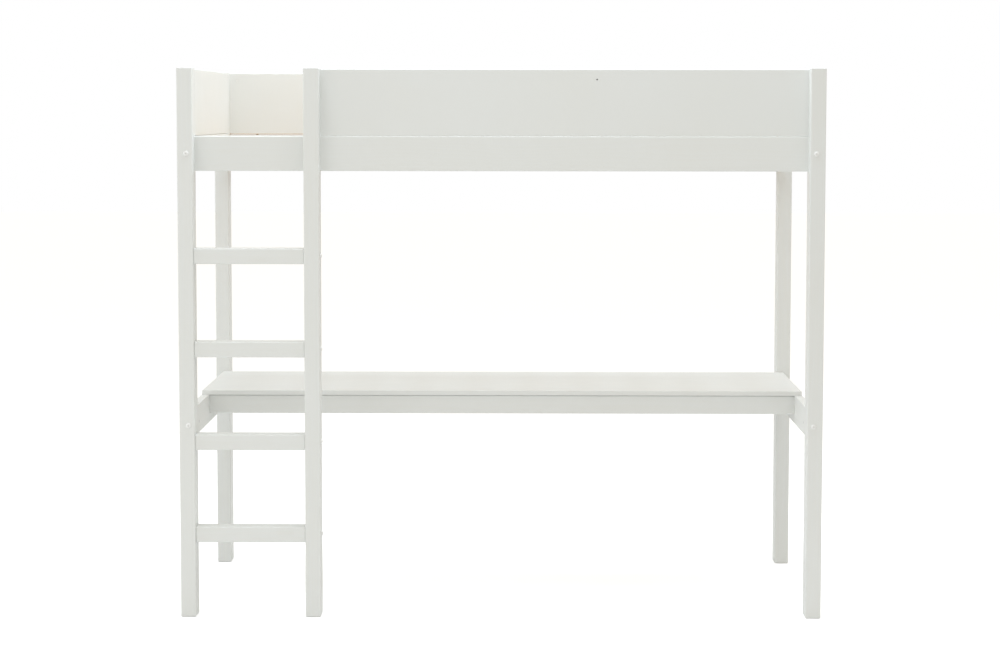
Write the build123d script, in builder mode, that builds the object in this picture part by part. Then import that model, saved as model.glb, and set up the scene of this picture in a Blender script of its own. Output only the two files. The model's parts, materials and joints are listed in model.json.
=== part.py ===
"""Loft bed with a full-length desk under it, for a 900 x 2000 mattress. Millimetres, +Z up.

The origin is the middle of the footprint, on the floor. +X runs along the bed to the right,
-Y is the front, where the ladder is, and +Y is the wall side.
"""

import os
from typing import NamedTuple

from build123d import *

# Overall frame
LENGTH = 2100
DEPTH = 1026
HEIGHT = 1798

# Posts and ladder
POST_WIDTH = 50
POST_DEPTH = 78
POST_EDGE = 3
POST_TOP_CHAMFER = 1
POST_FOOT_CHAMFER = 3
TREAD_LENGTH = 360
TREAD_HEIGHT = 51
TREAD_DEPTH = 66
TREAD_EDGE = 4
TREAD_END_CHAMFER = 2
TREAD_COUNT = 4
FIRST_TREAD = 247
TREAD_PITCH = 305

# Long boards: a rail with a guard board standing on it
BOARD = 22
GUARD_BOARD = 18
BOARD_EDGE = 2.5
RAIL_TOP_EDGE = 4
GUARD_BOTTOM_EDGE = 0.5
BOARD_SETBACK = 52
RAIL_BOTTOM = 1464
RAIL_TOP = 1578
REAR_RAIL_TOP = 1572
SEAM = 0.5
REAR_SEAM = 2
GUARD_TOP = 1795
GUARD_LAP = 38

# End rails, which tie a front post to a rear post
END_RAIL = 28

# Desk
DESK_TOP = 708
DESK_THICK = 16
DESK_DEPTH = 588
DESK_END_INSET = 26
DESK_CORNER = 4
DESK_EDGE = 2.5
DESK_RAIL_BOTTOM = 596
APRON = 20
APRON_BOTTOM = 628
APRON_GAP = 2
APRON_SETBACK = 10
REAR_APRON_Y = 367

# Slatted base
LEDGER_DEPTH = 24
LEDGER_BOTTOM = 1470
LEDGER_TOP = 1500
LEDGER_END_GAP = 4
SLAT_COUNT = 14
SLAT_WIDTH = 75
SLAT_THICK = 18
SLAT_END_GAP = 3
SLAT_SIDE_GAP = 8
SLAT_EDGE = 2

# Spare depth at the bottom of every hole
HOLE_SLACK = 1

# Connector bolts and their barrel nuts
BOLT = 6
BOLT_HOLE = 7
BOLT_HEAD = 17
BOLT_RIM = 1
BOLT_DOME = 4.5
BOLT_SOCKET = 4
BOLT_SOCKET_DEPTH = 2.5
BOLT_PAST_NUT = 8
NUT = 10
NUT_HOLE = 10.4
NUT_CHAMFER = 0.8
NUT_SLOT = 1.5
NUT_SLOT_DEPTH = 1.2
NUT_COVER = 4
END_NUT = 25
TREAD_NUT = 40
NUT_INSET = 29
END_NUT_INSET = 35
TREAD_NUT_INSET = 25
END_BOLT_INSET = 30
END_BOLT_Z = 1522
DESK_BOLT_Z = 634
RAIL_BOLT_Z = 1550
GUARD_BOLT_Z = 1767

# Dowels
DOWEL = 8
DOWEL_HOLE = 8.4
DOWEL_LENGTH = 40
DOWEL_CHAMFER = 1
RAIL_DOWEL_Z = 1492
GUARD_DOWEL_Z = 1610
END_RAIL_DOWEL_INSET = 35
END_RAIL_DOWEL_Z = (1476, 1564)
END_GUARD_DOWEL_Z = (1625, 1740)
DESK_RAIL_DOWEL_Z = 672
APRON_DOWEL_Z = (645, 675)
TREAD_DOWEL_OFFSET = 22
FRONT_SEAM_DOWELS_X = (-540, -60, 420, 900)
REAR_SEAM_DOWELS_X = (-900, -300, 300, 900)
END_SEAM_DOWELS_Y = (-300, 0, 300)

# Countersunk wood screws
SCREW = 4
SCREW_HOLE = 4.4
SCREW_HEAD = 8
SCREW_TIP = 5
SCREW_SOCKET = 3
SCREW_SOCKET_DEPTH = 1.5
SCREW_ANGLE = 90
LADDER_SCREW = 50
LADDER_SCREW_INSET = 18
LADDER_SCREWS_Z = (1520, 1556, 1625, 1745)
LEDGER_SCREW = 40
LEDGER_SCREWS_X = (-930, -585, -190, 190, 585, 930)
SLAT_SCREW = 35
BRACKET_SCREW = 14

# Angle brackets under the desk top
BRACKET_LEG = 30
BRACKET_WIDTH = 20
BRACKET_THICK = 2.5
BRACKET_BEND = 2
BRACKET_HOLE = 20
APRON_BRACKETS_X = (-700, 0, 700)
RAIL_BRACKET_Y = 100

# Blind pilot hole in the front guard board
PILOT_HOLE = 5
PILOT_DEPTH = 12
PILOT_X = 312
PILOT_Z = 1762

# Places worked out from the sizes above
OUTER_X = LENGTH / 2
INNER_X = OUTER_X - POST_WIDTH
FRONT_Y = -DEPTH / 2
REAR_Y = DEPTH / 2
FRONT_POST_BACK = FRONT_Y + POST_DEPTH
REAR_POST_FRONT = REAR_Y - POST_DEPTH
FRONT_BOARD_Y = FRONT_Y + BOARD_SETBACK
REAR_BOARD_Y = REAR_POST_FRONT + BOARD_SETBACK
FRONT_WELL_Y = FRONT_BOARD_Y + BOARD
FRONT_GUARD_Y = FRONT_WELL_Y - GUARD_BOARD
GUARD_BOTTOM = RAIL_TOP + SEAM
REAR_GUARD_BOTTOM = REAR_RAIL_TOP + REAR_SEAM
LADDER_X = TREAD_LENGTH - INNER_X
POST_MIDDLE_Y = FRONT_Y + POST_DEPTH / 2
DESK_FRONT = REAR_POST_FRONT - DESK_DEPTH
DESK_BASE = DESK_TOP - DESK_THICK
APRON_TOP = DESK_BASE - APRON_GAP
FRONT_APRON_Y = DESK_FRONT + APRON_SETBACK + APRON / 2
SLAT_TOP = LEDGER_TOP + SLAT_THICK

LEFT, RIGHT = Vector(-1, 0, 0), Vector(1, 0, 0)
FRONT, REAR = Vector(0, -1, 0), Vector(0, 1, 0)
DOWN, UP = Vector(0, 0, -1), Vector(0, 0, 1)
UNITS = (RIGHT, REAR, UP)
SIDES = (LEFT, RIGHT)
INWARDS = (Align.CENTER, Align.CENTER, Align.MAX)


class Bore(NamedTuple):
    """A straight hole from its seat plane inwards. A head diameter above 0 countersinks it."""

    seat: Plane
    diameter: float
    depth: float
    head: float = 0


class Bolted(NamedTuple):
    """A bolt seated on an outer face, and the barrel nut that it screws into."""

    seat: Plane
    nut_seat: Plane
    nut_length: float

    def reach(self):
        """Length of the shank: to the nut and a little past it."""
        to_nut = (self.seat.origin - self.nut_seat.origin).dot(self.seat.z_dir)
        return to_nut + BOLT_PAST_NUT

    def nut_eye(self):
        """Depth of the nut's threaded hole below the nut's slotted end."""
        return (self.nut_seat.origin - self.seat.origin).dot(self.nut_seat.z_dir)

    def bores(self):
        return [
            Bore(self.seat, BOLT_HOLE, self.reach() + HOLE_SLACK),
            Bore(self.nut_seat, NUT_HOLE, self.nut_length + HOLE_SLACK),
        ]


def save(part, name):
    """Label a finished piece and write it as its own STEP file."""
    part.label = name
    export_step(part, f"parts/{name}.step")


# Where the fasteners sit


def bolted(spot, outward, nut_spot, nut_outward, nut_length):
    """A bolted joint from the spots and outward directions of its bolt and its nut."""
    return Bolted(
        Plane(origin=spot, x_dir=outward.cross(nut_outward), z_dir=outward),
        Plane(origin=nut_spot, x_dir=outward, z_dir=nut_outward),
        nut_length,
    )


def end_joints(z):
    """Bolts through the front and rear posts into the ends of both end rails at one height."""
    joints = []
    for side in SIDES:
        for face in (FRONT, REAR):
            x = side.X * (OUTER_X - END_BOLT_INSET)
            spot = (x, face.Y * REAR_Y, z)
            nut_spot = (side.X * INNER_X, face.Y * (REAR_POST_FRONT - END_NUT_INSET), z)
            joints.append(bolted(spot, face, nut_spot, side * -1, END_NUT))
    return joints


def board_joint(side, board, thick, z):
    """A bolt through a corner post into the end of a long board at one height."""
    face_y, outward = (FRONT_WELL_Y, REAR) if board is FRONT else (REAR_BOARD_Y, FRONT)
    middle_y = face_y - outward.Y * thick / 2
    spot = (side.X * OUTER_X, middle_y, z)
    nut_spot = (side.X * (INNER_X - NUT_INSET), face_y, z)
    return bolted(spot, side, nut_spot, outward, thick - NUT_COVER)


def side_rail_joints():
    ends = [(side, board) for side in SIDES for board in (FRONT, REAR)]
    return [board_joint(side, board, BOARD, RAIL_BOLT_Z) for side, board in ends]


def guard_joints():
    """The front guard board is bolted at its right end only: its left end laps the ladder post."""
    ends = ((RIGHT, FRONT), (LEFT, REAR), (RIGHT, REAR))
    return [board_joint(side, board, GUARD_BOARD, GUARD_BOLT_Z) for side, board in ends]


def guard_middles():
    """Y of the middle of the front guard board and of the rear one."""
    return FRONT_GUARD_Y + GUARD_BOARD / 2, REAR_BOARD_Y + GUARD_BOARD / 2


def tread_bottoms():
    return [FIRST_TREAD + TREAD_PITCH * k for k in range(TREAD_COUNT)]


def tread_joints():
    joints = []
    for bottom in tread_bottoms():
        z = bottom + TREAD_HEIGHT / 2
        for face_x, end_x, side in (
            (-OUTER_X, -INNER_X, LEFT),
            (LADDER_X + POST_WIDTH, LADDER_X, RIGHT),
        ):
            nut_spot = (end_x - side.X * TREAD_NUT_INSET, POST_MIDDLE_Y, bottom)
            joints.append(bolted((face_x, POST_MIDDLE_Y, z), side, nut_spot, DOWN, TREAD_NUT))
    return joints


def board_dowels():
    """Dowels from the corner posts into the ends of the long rails and guard boards."""
    front_y, rear_y = FRONT_BOARD_Y + BOARD / 2, REAR_BOARD_Y + BOARD / 2
    rails = [(side.X * INNER_X, y, RAIL_DOWEL_Z) for side in SIDES for y in (front_y, rear_y)]
    front_guard_y, rear_guard_y = guard_middles()
    front_guard = [(INNER_X, front_guard_y, GUARD_DOWEL_Z)]
    rear_guard = [(side.X * INNER_X, rear_guard_y, GUARD_DOWEL_Z) for side in SIDES]
    return [Plane(origin=spot, z_dir=RIGHT) for spot in rails + front_guard + rear_guard]


def end_dowels():
    """Dowels from the corner posts into the end rails, end guards and desk rails."""
    rail_x, guard_x = OUTER_X - END_RAIL_DOWEL_INSET, INNER_X + BOARD / 2
    columns = [(rail_x, z) for z in (*END_RAIL_DOWEL_Z, DESK_RAIL_DOWEL_Z)]
    columns += [(guard_x, z) for z in END_GUARD_DOWEL_Z]
    return [
        Plane(origin=(side.X * x, y, z), z_dir=REAR)
        for side in SIDES
        for y in (FRONT_POST_BACK, REAR_POST_FRONT)
        for x, z in columns
    ]


def seam_dowels():
    """Upright dowels that line each guard board up with the rail below it."""
    front_y, rear_y = guard_middles()
    front = [(x, front_y) for x in FRONT_SEAM_DOWELS_X]
    rear = [(x, rear_y) for x in REAR_SEAM_DOWELS_X]
    ends = [(side.X * (INNER_X + BOARD / 2), y) for side in SIDES for y in END_SEAM_DOWELS_Y]
    seam_z, rear_seam_z = RAIL_TOP + SEAM / 2, REAR_RAIL_TOP + REAR_SEAM / 2
    places = [(x, y, seam_z) for x, y in front + ends] + [(x, y, rear_seam_z) for x, y in rear]
    return [Plane(origin=place, z_dir=UP) for place in places]


def tread_dowels():
    y = POST_MIDDLE_Y + TREAD_DOWEL_OFFSET
    return [
        Plane(origin=(x, y, bottom + TREAD_HEIGHT / 2), z_dir=RIGHT)
        for bottom in tread_bottoms()
        for x in (-INNER_X, LADDER_X)
    ]


def apron_dowels():
    return [
        Plane(origin=(side.X * INNER_X, y, z), z_dir=RIGHT)
        for side in SIDES
        for y in (FRONT_APRON_Y, REAR_APRON_Y)
        for z in APRON_DOWEL_Z
    ]


def ladder_screws():
    """Screws from the mattress side through the rail and the guard board into the ladder post."""
    x = LADDER_X + POST_WIDTH - LADDER_SCREW_INSET
    return [Plane(origin=(x, FRONT_WELL_Y, z), z_dir=REAR) for z in LADDER_SCREWS_Z]


def ledger_screws():
    z = (LEDGER_BOTTOM + LEDGER_TOP) / 2
    faces = ((FRONT_WELL_Y + LEDGER_DEPTH, REAR), (REAR_BOARD_Y - LEDGER_DEPTH, FRONT))
    return [Plane(origin=(x, y, z), z_dir=out) for y, out in faces for x in LEDGER_SCREWS_X]


def slat_middles():
    """X of the middle of each slat, evenly spaced over the length of the base."""
    first = SLAT_SIDE_GAP + SLAT_WIDTH / 2 - INNER_X
    pitch = -2 * first / (SLAT_COUNT - 1)
    return [first + pitch * k for k in range(SLAT_COUNT)]


def slat_screws():
    rows = (FRONT_WELL_Y + LEDGER_DEPTH / 2, REAR_BOARD_Y - LEDGER_DEPTH / 2)
    return [Plane(origin=(x, y, SLAT_TOP), z_dir=UP) for x in slat_middles() for y in rows]


def bracket_corners():
    """Inside corner of each bracket, on a wooden face just under the desk top, facing out."""
    front = [((x, FRONT_APRON_Y + APRON / 2, DESK_BASE), REAR) for x in APRON_BRACKETS_X]
    rear = [((x, REAR_APRON_Y - APRON / 2, DESK_BASE), FRONT) for x in APRON_BRACKETS_X]
    ends = [((side.X * INNER_X, RAIL_BRACKET_Y, DESK_BASE), side * -1) for side in SIDES]
    return [
        Plane(origin=corner, x_dir=DOWN.cross(out), z_dir=out)
        for corner, out in front + rear + ends
    ]


def bracket_screws():
    """Two screws for each bracket: one into the wooden face, one up into the desk top."""
    seats = []
    for corner in bracket_corners():
        out = corner.z_dir
        into_face = corner.origin + DOWN * BRACKET_HOLE + out * BRACKET_THICK
        into_desk = corner.origin + DOWN * BRACKET_THICK + out * BRACKET_HOLE
        seats += [Plane(origin=into_face, z_dir=out), Plane(origin=into_desk, z_dir=DOWN)]
    return seats


# Drilling


def dowel_bore(middle):
    """The hole for a dowel that is centred on its plane."""
    seat = middle.offset(DOWEL_LENGTH / 2 + HOLE_SLACK)
    return Bore(seat, DOWEL_HOLE, DOWEL_LENGTH + 2 * HOLE_SLACK)


def screw_bore(seat, length):
    return Bore(seat, SCREW_HOLE, length + HOLE_SLACK, SCREW_HEAD)


def all_bores():
    """Every hole in the bed, each drilled in whatever wood it passes through."""
    joints = end_joints(END_BOLT_Z) + end_joints(DESK_BOLT_Z)
    joints += side_rail_joints() + guard_joints() + tread_joints()
    bores = [bore for joint in joints for bore in joint.bores()]
    middles = board_dowels() + end_dowels() + seam_dowels() + tread_dowels() + apron_dowels()
    bores += [dowel_bore(middle) for middle in middles]
    bores += [screw_bore(seat, LADDER_SCREW) for seat in ladder_screws()]
    bores += [screw_bore(seat, LEDGER_SCREW) for seat in ledger_screws()]
    bores += [screw_bore(seat, SLAT_SCREW) for seat in slat_screws()]
    bores += [screw_bore(seat, BRACKET_SCREW) for seat in bracket_screws()]
    pilot = Plane(origin=(PILOT_X, FRONT_GUARD_Y, PILOT_Z), z_dir=FRONT)
    return bores + [Bore(pilot, PILOT_HOLE, PILOT_DEPTH)]


BORES = all_bores()


def crosses(bore, low, high):
    """True if the middle line of a bore passes through the box from low to high."""
    start = bore.seat.origin
    end = start - bore.seat.z_dir * bore.depth
    spans = zip(start, end, low, high)
    return all(max(a, b) > bottom and min(a, b) < top for a, b, bottom, top in spans)


def drill(low, high):
    """Cut the bores that cross the box from low to high out of the open part."""
    for bore in BORES:
        if not crosses(bore, low, high):
            continue
        with Locations(bore.seat):
            if bore.head:
                CounterSinkHole(bore.diameter / 2, bore.head / 2, bore.depth, SCREW_ANGLE)
            else:
                Cylinder(bore.diameter / 2, bore.depth, align=INWARDS, mode=Mode.SUBTRACT)


# Wooden pieces


def wooden_bar(name, low, high, along, top_edge, bottom_edge, end_chamfer=0):
    """A planed bar that fills the box from low to high, its edges rounded along its length."""
    u, v = (along + 1) % 3, (along + 2) % 3
    start = [(a + b) / 2 for a, b in zip(low, high)]
    start[along] = low[along]
    with BuildPart() as bar:
        with BuildSketch(Plane(origin=start, x_dir=UNITS[u], z_dir=UNITS[along])):
            Rectangle(high[u] - low[u], high[v] - low[v])
        extrude(amount=high[along] - low[along])
        for radius, pair in ((bottom_edge, slice(0, 2)), (top_edge, slice(-2, None))):
            lengthways = bar.edges().filter_by(Axis(start, UNITS[along]))
            fillet(lengthways.sort_by(Axis.Z)[pair], radius)
        if end_chamfer:
            ends = bar.faces().filter_by(Axis(start, UNITS[along]))
            chamfer(ends.edges(), end_chamfer)
        drill(low, high)
    save(bar.part, name)


ALONG_X, ALONG_Y = 0, 1


def post(name, x, y, notched):
    """An upright post with its low corner at x, y. A notched one lets the long boards pass."""
    low, high = (x, y, 0), (x + POST_WIDTH, y + POST_DEPTH, HEIGHT)
    middle = (x + POST_WIDTH / 2, y + POST_DEPTH / 2)
    with BuildPart() as upright:
        with BuildSketch():
            with Locations(middle):
                RectangleRounded(POST_WIDTH, POST_DEPTH, POST_EDGE)
        extrude(amount=HEIGHT)
        chamfer(upright.faces().sort_by(Axis.Z)[-1].edges(), POST_TOP_CHAMFER)
        chamfer(upright.faces().sort_by(Axis.Z)[0].edges(), POST_FOOT_CHAMFER)
        if notched:
            for face_y, bottom, top in (
                (FRONT_BOARD_Y, RAIL_BOTTOM, GUARD_BOTTOM),
                (FRONT_GUARD_Y, GUARD_BOTTOM, HEIGHT),
            ):
                with BuildSketch(Plane.XY.offset(bottom)):
                    with Locations((middle[0], (face_y + FRONT_POST_BACK) / 2)):
                        Rectangle(POST_WIDTH, FRONT_POST_BACK - face_y)
                extrude(amount=top - bottom, mode=Mode.SUBTRACT)
        drill(low, high)
    save(upright.part, name)


def posts():
    post("front_left_post", -OUTER_X, FRONT_Y, notched=False)
    post("front_right_post", INNER_X, FRONT_Y, notched=False)
    post("rear_left_post", -OUTER_X, REAR_POST_FRONT, notched=False)
    post("rear_right_post", INNER_X, REAR_POST_FRONT, notched=False)
    post("ladder_post", LADDER_X, FRONT_Y, notched=True)


def ladder_treads():
    """Four treads. Their chamfered ends leave a fine groove against the posts."""
    y = POST_MIDDLE_Y - TREAD_DEPTH / 2
    edges = (TREAD_EDGE, TREAD_EDGE, TREAD_END_CHAMFER)
    for number, bottom in enumerate(tread_bottoms(), start=1):
        low = (-INNER_X, y, bottom)
        high = (LADDER_X, y + TREAD_DEPTH, bottom + TREAD_HEIGHT)
        wooden_bar(f"ladder_tread_{number}", low, high, ALONG_X, *edges)


def long_boards():
    """The front and rear rails with the guard boards that stand on them."""
    guard_left = LADDER_X + POST_WIDTH - GUARD_LAP
    rows = (
        ("front", FRONT_BOARD_Y, RAIL_TOP, guard_left, FRONT_GUARD_Y, GUARD_BOTTOM),
        ("rear", REAR_BOARD_Y, REAR_RAIL_TOP, -INNER_X, REAR_BOARD_Y, REAR_GUARD_BOTTOM),
    )
    for place, y, rail_top, guard_x, guard_y, guard_bottom in rows:
        low, high = (-INNER_X, y, RAIL_BOTTOM), (INNER_X, y + BOARD, rail_top)
        wooden_bar(f"{place}_side_rail", low, high, ALONG_X, RAIL_TOP_EDGE, BOARD_EDGE)
        low = (guard_x, guard_y, guard_bottom)
        high = (INNER_X, guard_y + GUARD_BOARD, GUARD_TOP)
        wooden_bar(f"{place}_guard_board", low, high, ALONG_X, BOARD_EDGE, GUARD_BOTTOM_EDGE)


def end_boards():
    """The rails and guard boards that cross each end, and the desk rails lower down."""
    rows = (
        ("end_rail", END_RAIL, RAIL_BOTTOM, RAIL_TOP, RAIL_TOP_EDGE, BOARD_EDGE),
        ("end_guard", BOARD, GUARD_BOTTOM, GUARD_TOP, BOARD_EDGE, GUARD_BOTTOM_EDGE),
        ("desk_rail", END_RAIL, DESK_RAIL_BOTTOM, DESK_BASE, BOARD_EDGE, BOARD_EDGE),
    )
    for kind, thick, bottom, top, top_edge, bottom_edge in rows:
        for side_name, x in (("left", -INNER_X - thick), ("right", INNER_X)):
            low = (x, FRONT_POST_BACK, bottom)
            high = (x + thick, REAR_POST_FRONT, top)
            wooden_bar(f"{side_name}_{kind}", low, high, ALONG_Y, top_edge, bottom_edge)


def slat_ledgers():
    x = INNER_X - LEDGER_END_GAP
    rows = (("front", FRONT_WELL_Y), ("rear", REAR_BOARD_Y - LEDGER_DEPTH))
    for place, y in rows:
        low, high = (-x, y, LEDGER_BOTTOM), (x, y + LEDGER_DEPTH, LEDGER_TOP)
        wooden_bar(f"{place}_slat_ledger", low, high, ALONG_X, SLAT_EDGE, SLAT_EDGE)


def slats():
    front, rear = FRONT_WELL_Y + SLAT_END_GAP, REAR_BOARD_Y - SLAT_END_GAP
    for number, x in enumerate(slat_middles(), start=1):
        low = (x - SLAT_WIDTH / 2, front, LEDGER_TOP)
        high = (x + SLAT_WIDTH / 2, rear, SLAT_TOP)
        wooden_bar(f"slat_{number:02d}", low, high, ALONG_Y, SLAT_EDGE, SLAT_EDGE)


def desk_aprons():
    rows = (("front_desk_apron", FRONT_APRON_Y), ("rear_desk_apron", REAR_APRON_Y))
    for name, y in rows:
        low, high = (-INNER_X, y - APRON / 2, APRON_BOTTOM), (INNER_X, y + APRON / 2, APRON_TOP)
        wooden_bar(name, low, high, ALONG_X, BOARD_EDGE, BOARD_EDGE)


def desk_top():
    width = LENGTH - 2 * DESK_END_INSET
    middle_y = (DESK_FRONT + REAR_POST_FRONT) / 2
    with BuildPart() as top:
        with BuildSketch(Plane.XY.offset(DESK_BASE)):
            with Locations((0, middle_y)):
                RectangleRounded(width, DESK_DEPTH, DESK_CORNER)
        extrude(amount=DESK_THICK)
        fillet(top.faces().sort_by(Axis.Z)[-1].edges(), DESK_EDGE)
        low = (-width / 2, DESK_FRONT, DESK_BASE)
        drill(low, (width / 2, REAR_POST_FRONT, DESK_TOP))
    save(top.part, "desk_top")


# Fasteners


def connector_bolt(length):
    """A bolt with a domed socket head above the XY plane and its shank below."""
    with BuildPart() as bolt:
        with BuildSketch(Plane.XZ):
            with BuildLine():
                Polyline(
                    (0, BOLT_RIM + BOLT_DOME),
                    (0, -length),
                    (BOLT / 2, -length),
                    (BOLT / 2, 0),
                    (BOLT_HEAD / 2, 0),
                    (BOLT_HEAD / 2, BOLT_RIM),
                )
                EllipticalCenterArc((0, BOLT_RIM), BOLT_HEAD / 2, BOLT_DOME, arc_size=90)
            make_face()
        revolve(axis=Axis.Z)
        with BuildSketch(Plane.XY.offset(BOLT_RIM + BOLT_DOME)):
            RegularPolygon(BOLT_SOCKET / 2, 6, major_radius=False)
        extrude(amount=-BOLT_SOCKET_DEPTH, mode=Mode.SUBTRACT)
    return bolt.part


def barrel_nut(length, eye):
    """A slotted cylinder below the XY plane with a threaded hole across it along X."""
    with BuildPart() as nut:
        with BuildSketch():
            Circle(NUT / 2)
        extrude(amount=-length)
        chamfer(nut.edges().filter_by(GeomType.CIRCLE), NUT_CHAMFER)
        with BuildSketch():
            Rectangle(NUT_SLOT, NUT)
        extrude(amount=-NUT_SLOT_DEPTH, mode=Mode.SUBTRACT)
        with Locations(Plane(origin=(NUT / 2, 0, -eye), z_dir=RIGHT)):
            Cylinder(BOLT_HOLE / 2, NUT, align=INWARDS, mode=Mode.SUBTRACT)
    return nut.part


def dowel():
    """A wooden dowel along Z, centred on the XY plane."""
    with BuildPart() as peg:
        with BuildSketch(Plane.XY.offset(-DOWEL_LENGTH / 2)):
            Circle(DOWEL / 2)
        extrude(amount=DOWEL_LENGTH)
        chamfer(peg.edges().filter_by(GeomType.CIRCLE), DOWEL_CHAMFER)
    return peg.part


def wood_screw(length):
    """A countersunk screw below the XY plane, its head flush with it."""
    cone = (SCREW_HEAD - SCREW) / 2
    with BuildPart() as screw:
        with BuildSketch(Plane.XZ):
            with BuildLine():
                Polyline(
                    (0, 0),
                    (0, -length),
                    (SCREW / 2, SCREW_TIP - length),
                    (SCREW / 2, -cone),
                    (SCREW_HEAD / 2, 0),
                    close=True,
                )
            make_face()
        revolve(axis=Axis.Z)
        with BuildSketch():
            RegularPolygon(SCREW_SOCKET / 2, 6, major_radius=False)
        extrude(amount=-SCREW_SOCKET_DEPTH, mode=Mode.SUBTRACT)
    return screw.part


def group(name, piece, seats):
    """Copies of one small piece, a separate solid on each seat plane, saved as one node."""
    with BuildPart() as pieces:
        with Locations(*seats):
            add(piece)
    save(pieces.part, name)


def bolts_and_nuts():
    """Each family of bolts, with its barrel nuts as a node of their own."""
    families = (
        ("end_rail", end_joints(END_BOLT_Z)),
        ("desk_rail", end_joints(DESK_BOLT_Z)),
        ("side_rail", side_rail_joints()),
        ("guard", guard_joints()),
        ("tread", tread_joints()),
    )
    for kind, joints in families:
        sample = joints[0]
        nut = barrel_nut(sample.nut_length, sample.nut_eye())
        group(f"{kind}_bolts", connector_bolt(sample.reach()), [j.seat for j in joints])
        group(f"{kind}_barrel_nuts", nut, [j.nut_seat for j in joints])


def dowels():
    families = (
        ("board_dowels", board_dowels()),
        ("end_dowels", end_dowels()),
        ("seam_dowels", seam_dowels()),
        ("tread_dowels", tread_dowels()),
        ("apron_dowels", apron_dowels()),
    )
    for name, middles in families:
        group(name, dowel(), middles)


def screws():
    group("ladder_post_screws", wood_screw(LADDER_SCREW), ladder_screws())
    group("ledger_screws", wood_screw(LEDGER_SCREW), ledger_screws())
    group("slat_screws", wood_screw(SLAT_SCREW), slat_screws())
    group("desk_bracket_screws", wood_screw(BRACKET_SCREW), bracket_screws())


def bracket():
    """An angle bracket in its corner plane: Y runs down the wooden face, Z out from it."""
    with BuildPart() as angle:
        with BuildSketch(Plane.YZ.offset(-BRACKET_WIDTH / 2)):
            with BuildLine():
                Polyline(
                    (0, 0),
                    (BRACKET_LEG, 0),
                    (BRACKET_LEG, BRACKET_THICK),
                    (BRACKET_THICK, BRACKET_THICK),
                    (BRACKET_THICK, BRACKET_LEG),
                    (0, BRACKET_LEG),
                    close=True,
                )
            make_face()
        extrude(amount=BRACKET_WIDTH)
        inside_corner = (0, BRACKET_THICK, BRACKET_THICK)
        fillet(angle.edges().filter_by(Axis.X).sort_by_distance(inside_corner)[0], BRACKET_BEND)
        for seat in (
            Plane(origin=(0, BRACKET_HOLE, BRACKET_THICK), z_dir=UP),
            Plane(origin=(0, BRACKET_THICK, BRACKET_HOLE), z_dir=REAR),
        ):
            with Locations(seat):
                CounterSinkHole(SCREW_HOLE / 2, SCREW_HEAD / 2, BRACKET_LEG, SCREW_ANGLE)
    return angle.part


def main():
    os.makedirs("parts", exist_ok=True)
    posts()
    ladder_treads()
    long_boards()
    end_boards()
    slat_ledgers()
    slats()
    desk_top()
    desk_aprons()
    group("desk_brackets", bracket(), bracket_corners())
    bolts_and_nuts()
    dowels()
    screws()


main()
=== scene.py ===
"""Looks for the loft bed: lacquered pine and board, bare pine slats, and a pale studio."""

import json
import math

import bpy
from mathutils import Matrix, Vector


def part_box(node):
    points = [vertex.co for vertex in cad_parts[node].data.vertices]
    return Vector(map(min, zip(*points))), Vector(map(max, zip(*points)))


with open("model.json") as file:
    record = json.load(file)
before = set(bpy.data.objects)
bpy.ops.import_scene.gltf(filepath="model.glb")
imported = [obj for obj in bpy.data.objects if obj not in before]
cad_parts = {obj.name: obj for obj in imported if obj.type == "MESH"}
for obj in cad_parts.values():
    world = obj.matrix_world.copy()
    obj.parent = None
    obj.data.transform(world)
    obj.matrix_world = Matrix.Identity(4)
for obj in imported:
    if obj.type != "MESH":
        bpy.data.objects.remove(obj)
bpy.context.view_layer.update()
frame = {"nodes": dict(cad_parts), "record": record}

# Camera, at the photograph's viewing angle. Metres and degrees.
CAMERA_PLACE = (0.0647, -8.184, 1.6656)
CAMERA_PITCH = 4.45
CAMERA_YAW = 0.502
CAMERA_ROLL = 0.058
CAMERA_LENS = 85.25
CAMERA_SHIFT_Y = -0.04

# Studio. Each softbox is a place, a target, a side, a power and a tint.
FLOOR_SIZE = 60
FLOOR_GREY = (0.85, 0.85, 0.85, 1)
FLOOR_ROUGHNESS = 0.9
# Glow that only the camera sees, so that the floor meets the white world without a line
FLOOR_LIFT = 0.42
WHITE = (1, 1, 1, 1)
AMBIENT = 0.74
AMBIENT_TINT = (1.0, 0.965, 0.89, 1.0)
COOL = (0.80, 0.90, 1.0)
NEUTRAL = (1.0, 1.0, 1.0)
SOFTBOXES = {
    "overhead": ((0.0, 0.0, 4.2), (0, 0, 0), 3.0, 120, COOL),
    "high_right": ((2.5, 0.5, 3.8), (-0.3, 0, 1.0), 2.5, 15, NEUTRAL),
    "front_left": ((-3.2, -4.5, 2.4), (0, 0, 1.0), 2.5, 15, NEUTRAL),
    "left": ((-5.0, -0.6, 1.8), (0, 0, 1.2), 2.5, 45, COOL),
}

AXES = "xyz"

# Colours, in linear light
WHITE_PAINT = (0.795, 0.81, 0.80)
PRIMER_TINT = (0.77, 0.77, 0.725)
BOLT_PAINT = (0.88, 0.88, 0.87)
EARLY_WOOD = (0.62, 0.45, 0.28)
LATE_WOOD = (0.46, 0.28, 0.14)
KNOT_WOOD = (0.22, 0.105, 0.045)
BEECH = (0.60, 0.40, 0.24)
ZINC = (0.62, 0.63, 0.65)

# How far the painted shade of the rear joint reaches each side of it, in metres: a band in bare pine colour
# that stands for the shadowed crevice
JOINT_SHADE_REACH = 0.0022

# Where the growth rings centre, and how far each piece shifts its grain from the one before, in metres
RING_CENTRE = (0.043, 0.061, 0.037)
GRAIN_STEP = (0.37, 0.61, 0.23)


def add_node(tree, kind, inputs=None, **settings):
    """Add one shader node. An input's value is a number, a tuple or the output that feeds it."""
    node = tree.nodes.new(kind)
    for name, value in settings.items():
        setattr(node, name, value)
    for name, value in (inputs or {}).items():
        if isinstance(value, bpy.types.NodeSocket):
            tree.links.new(value, node.inputs[name])
        else:
            node.inputs[name].default_value = value
    return node


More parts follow.
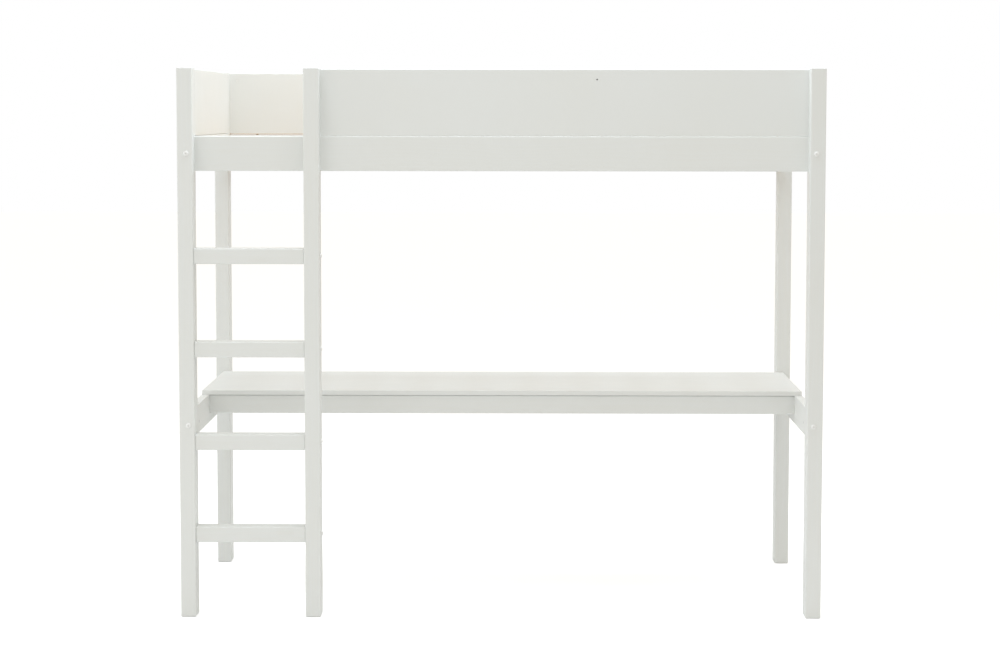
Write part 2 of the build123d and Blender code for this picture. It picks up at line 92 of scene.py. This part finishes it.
def new_material(name):
    """An empty node material with its Principled shader wired to the output."""
    material = bpy.data.materials.new(name)
    material.use_nodes = True
    tree = material.node_tree
    tree.nodes.clear()
    shader = tree.nodes.new("ShaderNodeBsdfPrincipled")
    add_node(tree, "ShaderNodeOutputMaterial", {"Surface": shader.outputs[0]})
    return material, tree, shader


def math_node(tree, operation, a, b=0.0):
    node = add_node(tree, "ShaderNodeMath", {0: a, 1: b}, operation=operation)
    return node.outputs[0]


def noise(tree, vector, scale, detail=2.0, roughness=0.5):
    inputs = {"Vector": vector, "Scale": scale, "Detail": detail, "Roughness": roughness}
    return add_node(tree, "ShaderNodeTexNoise", inputs).outputs[0]


def remap(tree, value, low, high, to_low, to_high):
    inputs = {"Value": value, 1: low, 2: high, 3: to_low, 4: to_high}
    return add_node(tree, "ShaderNodeMapRange", inputs).outputs[0]


def blend_colours(tree, factor, first, second):
    inputs = {0: factor, 6: first, 7: second}
    return add_node(tree, "ShaderNodeMix", inputs, data_type="RGBA").outputs[2]


def rgba(colour):
    return (*colour, 1.0)


def piece_space(tree):
    """Object coordinates, moved by each piece's own seed so that no two pieces match."""
    place = add_node(tree, "ShaderNodeTexCoord").outputs["Object"]
    seed = add_node(tree, "ShaderNodeAttribute", attribute_type="OBJECT", attribute_name="grain_seed")
    return add_node(tree, "ShaderNodeVectorMath", {0: place, 1: seed.outputs["Vector"]}).outputs[0]


def along_grain(tree, vector, axis, across, along):
    """Coordinates scaled across and along the grain, for streaks that run along one axis."""
    scale = [across] * 3
    scale[axis] = along
    return add_node(tree, "ShaderNodeMapping", {"Vector": vector, "Scale": scale}).outputs[0]


def growth_rings(tree, space, axis):
    """Rings about a line beside the piece: arcs on end grain, long flames on the faces."""
    warp = noise(tree, along_grain(tree, space, axis, 6.0, 0.6), 1.0, 3.0)
    shift = remap(tree, warp, 0.0, 1.0, -0.035, 0.035)
    moved = add_node(tree, "ShaderNodeVectorMath", {0: space, 1: shift}).outputs[0]
    centre = add_node(tree, "ShaderNodeMapping", {"Vector": moved, "Location": RING_CENTRE})
    return add_node(
        tree,
        "ShaderNodeTexWave",
        {
            "Vector": centre.outputs[0],
            "Scale": 42.0,
            "Distortion": 1.6,
            "Detail": 2.0,
            "Detail Scale": 0.6,
        },
        wave_type="RINGS",
        rings_direction=AXES[axis].upper(),
        wave_profile="SAW",
    ).outputs[1]


def knots(tree, space, axis):
    """A mask of small oval knots, longer along the grain and sparse, at one in a few metres of slat."""
    cells = add_node(
        tree,
        "ShaderNodeTexVoronoi",
        {"Vector": along_grain(tree, space, axis, 9.0, 3.2), "Scale": 1.0, "Randomness": 1.0},
    )
    return remap(tree, cells.outputs["Distance"], 0.05, 0.13, 1.0, 0.0)


def bump(tree, height, strength, distance):
    inputs = {"Strength": strength, "Distance": distance, "Height": height}
    return add_node(tree, "ShaderNodeBump", inputs).outputs[0]


def painted_joint_shade(tree, colour):
    """Painted shade: a band of bare pine colour on every face within a few millimetres of the height of the
    rear rail and guard board joint, standing in for the shadowed crevice.
    """
    joint = (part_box("rear_side_rail")[1].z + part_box("rear_guard_board")[0].z) / 2
    place = add_node(tree, "ShaderNodeTexCoord").outputs["Object"]
    height = add_node(tree, "ShaderNodeSeparateXYZ", {"Vector": place}).outputs["Z"]
    away = math_node(tree, "ABSOLUTE", math_node(tree, "SUBTRACT", height, joint))
    # painted shade: full pine colour at the joint's height, fading back to the lacquer a little further off
    shade_mask = remap(tree, away, JOINT_SHADE_REACH, 1.5 * JOINT_SHADE_REACH, 1.0, 0.0)
    return blend_colours(tree, shade_mask, colour, rgba(EARLY_WOOD))


def lacquered_pine(axis, name="lacquered_pine", joint_shaded=False):
    """Satin white lacquer, with the planed pine's grain just showing through as relief."""
    material, tree, shader = new_material(f"{name}_{AXES[axis]}")
    space = piece_space(tree)
    rings = growth_rings(tree, space, axis)
    fibres = noise(tree, along_grain(tree, space, axis, 700.0, 14.0), 1.0, 3.0, 0.6)
    cloud = noise(tree, space, 3.2, 3.0)
    thin = math_node(tree, "MULTIPLY", rings, 0.16)
    thin = math_node(tree, "ADD", thin, remap(tree, cloud, 0.3, 0.7, 0.0, 0.22))
    thin = math_node(tree, "ADD", thin, math_node(tree, "MULTIPLY", knots(tree, space, axis), 0.22))
    colour = blend_colours(tree, thin, rgba(WHITE_PAINT), rgba(PRIMER_TINT))
    # painted shade of the rear joint, on the pieces that ask for it
    if joint_shaded:
        colour = painted_joint_shade(tree, colour)
    tree.links.new(colour, shader.inputs["Base Color"])
    tree.links.new(remap(tree, fibres, 0.2, 0.8, 0.36, 0.50), shader.inputs["Roughness"])
    peel = noise(tree, space, 900.0, 1.0)
    relief = math_node(tree, "ADD", math_node(tree, "MULTIPLY", rings, 0.5), fibres)
    relief = math_node(tree, "ADD", relief, math_node(tree, "MULTIPLY", peel, 0.4))
    tree.links.new(bump(tree, relief, 0.35, 0.00015), shader.inputs["Normal"])
    return material


def lacquered_board(name="lacquered_board", joint_shaded=False):
    """Satin white lacquer sprayed over smooth board: a fine orange-peel skin and faint clouds."""
    material, tree, shader = new_material(name)
    space = piece_space(tree)
    cloud = noise(tree, space, 2.4, 3.0)
    colour = blend_colours(
        tree, remap(tree, cloud, 0.3, 0.7, 0.0, 0.25), rgba(WHITE_PAINT), rgba(PRIMER_TINT)
    )
    # painted shade of the rear joint, on the pieces that ask for it
    if joint_shaded:
        colour = painted_joint_shade(tree, colour)
    tree.links.new(colour, shader.inputs["Base Color"])
    smear = noise(tree, space, 14.0, 4.0, 0.6)
    tree.links.new(remap(tree, smear, 0.25, 0.75, 0.32, 0.44), shader.inputs["Roughness"])
    peel = noise(tree, space, 650.0, 2.0)
    tree.links.new(bump(tree, peel, 0.25, 0.00012), shader.inputs["Normal"])
    return material


def bare_pine(axis):
    """Planed, untreated pine: pale early wood, darker late wood, fine fibres and knots."""
    material, tree, shader = new_material(f"bare_pine_{AXES[axis]}")
    space = piece_space(tree)
    rings = growth_rings(tree, space, axis)
    fibres = noise(tree, along_grain(tree, space, axis, 900.0, 10.0), 1.0, 4.0, 0.65)
    late = math_node(tree, "POWER", rings, 2.2)
    late = math_node(tree, "MULTIPLY", late, remap(tree, fibres, 0.2, 0.8, 0.55, 0.95))
    wood = blend_colours(tree, late, rgba(EARLY_WOOD), rgba(LATE_WOOD))
    colour = blend_colours(tree, knots(tree, space, axis), wood, rgba(KNOT_WOOD))
    tree.links.new(colour, shader.inputs["Base Color"])
    tree.links.new(remap(tree, fibres, 0.2, 0.8, 0.5, 0.72), shader.inputs["Roughness"])
    relief = math_node(tree, "ADD", math_node(tree, "MULTIPLY", rings, 0.6), fibres)
    tree.links.new(bump(tree, relief, 0.5, 0.0002), shader.inputs["Normal"])
    return material


def beech():
    """Close-grained dowel wood, with short dark flecks."""
    material, tree, shader = new_material("beech")
    space = piece_space(tree)
    flecks = noise(tree, space, 420.0, 2.0)
    colour = blend_colours(tree, remap(tree, flecks, 0.4, 0.7, 0.0, 0.6), rgba(BEECH), rgba(LATE_WOOD))
    tree.links.new(colour, shader.inputs["Base Color"])
    tree.links.new(remap(tree, flecks, 0.3, 0.7, 0.5, 0.65), shader.inputs["Roughness"])
    return material


def bolt_lacquer():
    """White lacquer baked on to a steel bolt head."""
    material, tree, shader = new_material("bolt_lacquer")
    space = piece_space(tree)
    pores = noise(tree, space, 1500.0, 2.0)
    colour = blend_colours(tree, remap(tree, pores, 0.3, 0.8, 0.0, 0.3), rgba(BOLT_PAINT), rgba(WHITE_PAINT))
    tree.links.new(colour, shader.inputs["Base Color"])
    tree.links.new(remap(tree, pores, 0.3, 0.7, 0.22, 0.34), shader.inputs["Roughness"])
    tree.links.new(bump(tree, pores, 0.2, 0.0001), shader.inputs["Normal"])
    return material


def zinc_plate():
    """Bright zinc plating with a fine crystalline bloom."""
    material, tree, shader = new_material("zinc_plate")
    space = piece_space(tree)
    bloom = noise(tree, space, 260.0, 3.0)
    shader.inputs["Metallic"].default_value = 1.0
    dull = tuple(0.8 * channel for channel in ZINC)
    colour = blend_colours(tree, remap(tree, bloom, 0.35, 0.7, 0.0, 1.0), rgba(ZINC), rgba(dull))
    tree.links.new(colour, shader.inputs["Base Color"])
    tree.links.new(remap(tree, bloom, 0.3, 0.7, 0.28, 0.45), shader.inputs["Roughness"])
    return material


def finishes():
    """The material for each of the record's slots: a list of three where the grain has an axis."""
    return {
        "white_pine": [lacquered_pine(axis) for axis in range(3)],
        "white_board": [lacquered_board()] * 3,
        "natural_pine": [bare_pine(axis) for axis in range(3)],
        "beech": [beech()] * 3,
        "white_bolt_heads": [bolt_lacquer()] * 3,
        "zinc_steel": [zinc_plate()] * 3,
    }


def joint_shaded_finishes():
    """The two boards that carry the painted shade of their joint, which shows over the front rail."""
    return {
        "rear_side_rail": lacquered_pine(0, "joint_shaded_pine", joint_shaded=True),
        "rear_guard_board": lacquered_board("joint_shaded_board", joint_shaded=True),
    }


def dress_nodes():
    """Give each CAD node its finish, with the grain along its longest side."""
    by_slot = finishes()
    by_node = joint_shaded_finishes()
    slots = {part["node"]: part["material_slot"] for part in frame["record"]["subparts"]}
    for number, name in enumerate(sorted(frame["nodes"])):
        low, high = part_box(name)
        sides = high - low
        piece = frame["nodes"][name]
        piece["grain_seed"] = [step * number for step in GRAIN_STEP]
        grain_axis = max(range(3), key=lambda axis: sides[axis])
        material = by_node.get(name, by_slot[slots[name]][grain_axis])
        for slot in piece.material_slots:
            slot.material = material


def make_floor():
    mesh = bpy.data.meshes.new("floor")
    half = FLOOR_SIZE / 2
    corners = [(-half, -half, 0), (half, -half, 0), (half, half, 0), (-half, half, 0)]
    mesh.from_pydata(corners, [], [(0, 1, 2, 3)])
    floor = bpy.data.objects.new("floor", mesh)
    bpy.context.scene.collection.objects.link(floor)
    material, tree, shader = new_material("pale_floor")
    shader.inputs["Base Color"].default_value = FLOOR_GREY
    shader.inputs["Roughness"].default_value = FLOOR_ROUGHNESS
    shader.inputs["Emission Color"].default_value = WHITE
    seen = add_node(tree, "ShaderNodeLightPath").outputs["Is Camera Ray"]
    tree.links.new(math_node(tree, "MULTIPLY", seen, FLOOR_LIFT), shader.inputs["Emission Strength"])
    mesh.materials.append(material)


def make_world():
    """White behind the object, and a dimmer even light on it."""
    world = bpy.data.worlds.new("studio")
    bpy.context.scene.world = world
    world.use_nodes = True
    tree = world.node_tree
    tree.nodes.clear()
    seen = add_node(tree, "ShaderNodeLightPath").outputs["Is Camera Ray"]
    strength = remap(tree, seen, 0.0, 1.0, AMBIENT, 1.0)
    colour = blend_colours(tree, seen, AMBIENT_TINT, WHITE)
    sky = add_node(tree, "ShaderNodeBackground", {"Color": colour, "Strength": strength})
    add_node(tree, "ShaderNodeOutputWorld", {"Surface": sky.outputs[0]})


def make_softbox(name, place, target, size, power, tint):
    light = bpy.data.lights.new(name, "AREA")
    light.shape = "SQUARE"
    light.size = size
    light.energy = power
    light.color = tint
    lamp = bpy.data.objects.new(name, light)
    bpy.context.scene.collection.objects.link(lamp)
    lamp.location = place
    lamp.rotation_euler = (Vector(target) - Vector(place)).to_track_quat("-Z", "Y").to_euler()


def make_camera():
    data = bpy.data.cameras.new("camera")
    data.lens = CAMERA_LENS
    data.shift_y = CAMERA_SHIFT_Y
    camera = bpy.data.objects.new("camera", data)
    bpy.context.scene.collection.objects.link(camera)
    turn = Matrix.Rotation(math.radians(CAMERA_YAW), 4, "Z")
    tilt = Matrix.Rotation(math.radians(90 - CAMERA_PITCH), 4, "X")
    roll = Matrix.Rotation(math.radians(CAMERA_ROLL), 4, "Z")
    camera.matrix_world = Matrix.Translation(CAMERA_PLACE) @ turn @ tilt @ roll
    bpy.context.scene.camera = camera


dress_nodes()
make_floor()
make_world()
for name, settings in SOFTBOXES.items():
    make_softbox(name, *settings)
make_camera()
bpy.context.scene.view_settings.view_transform = "Standard"
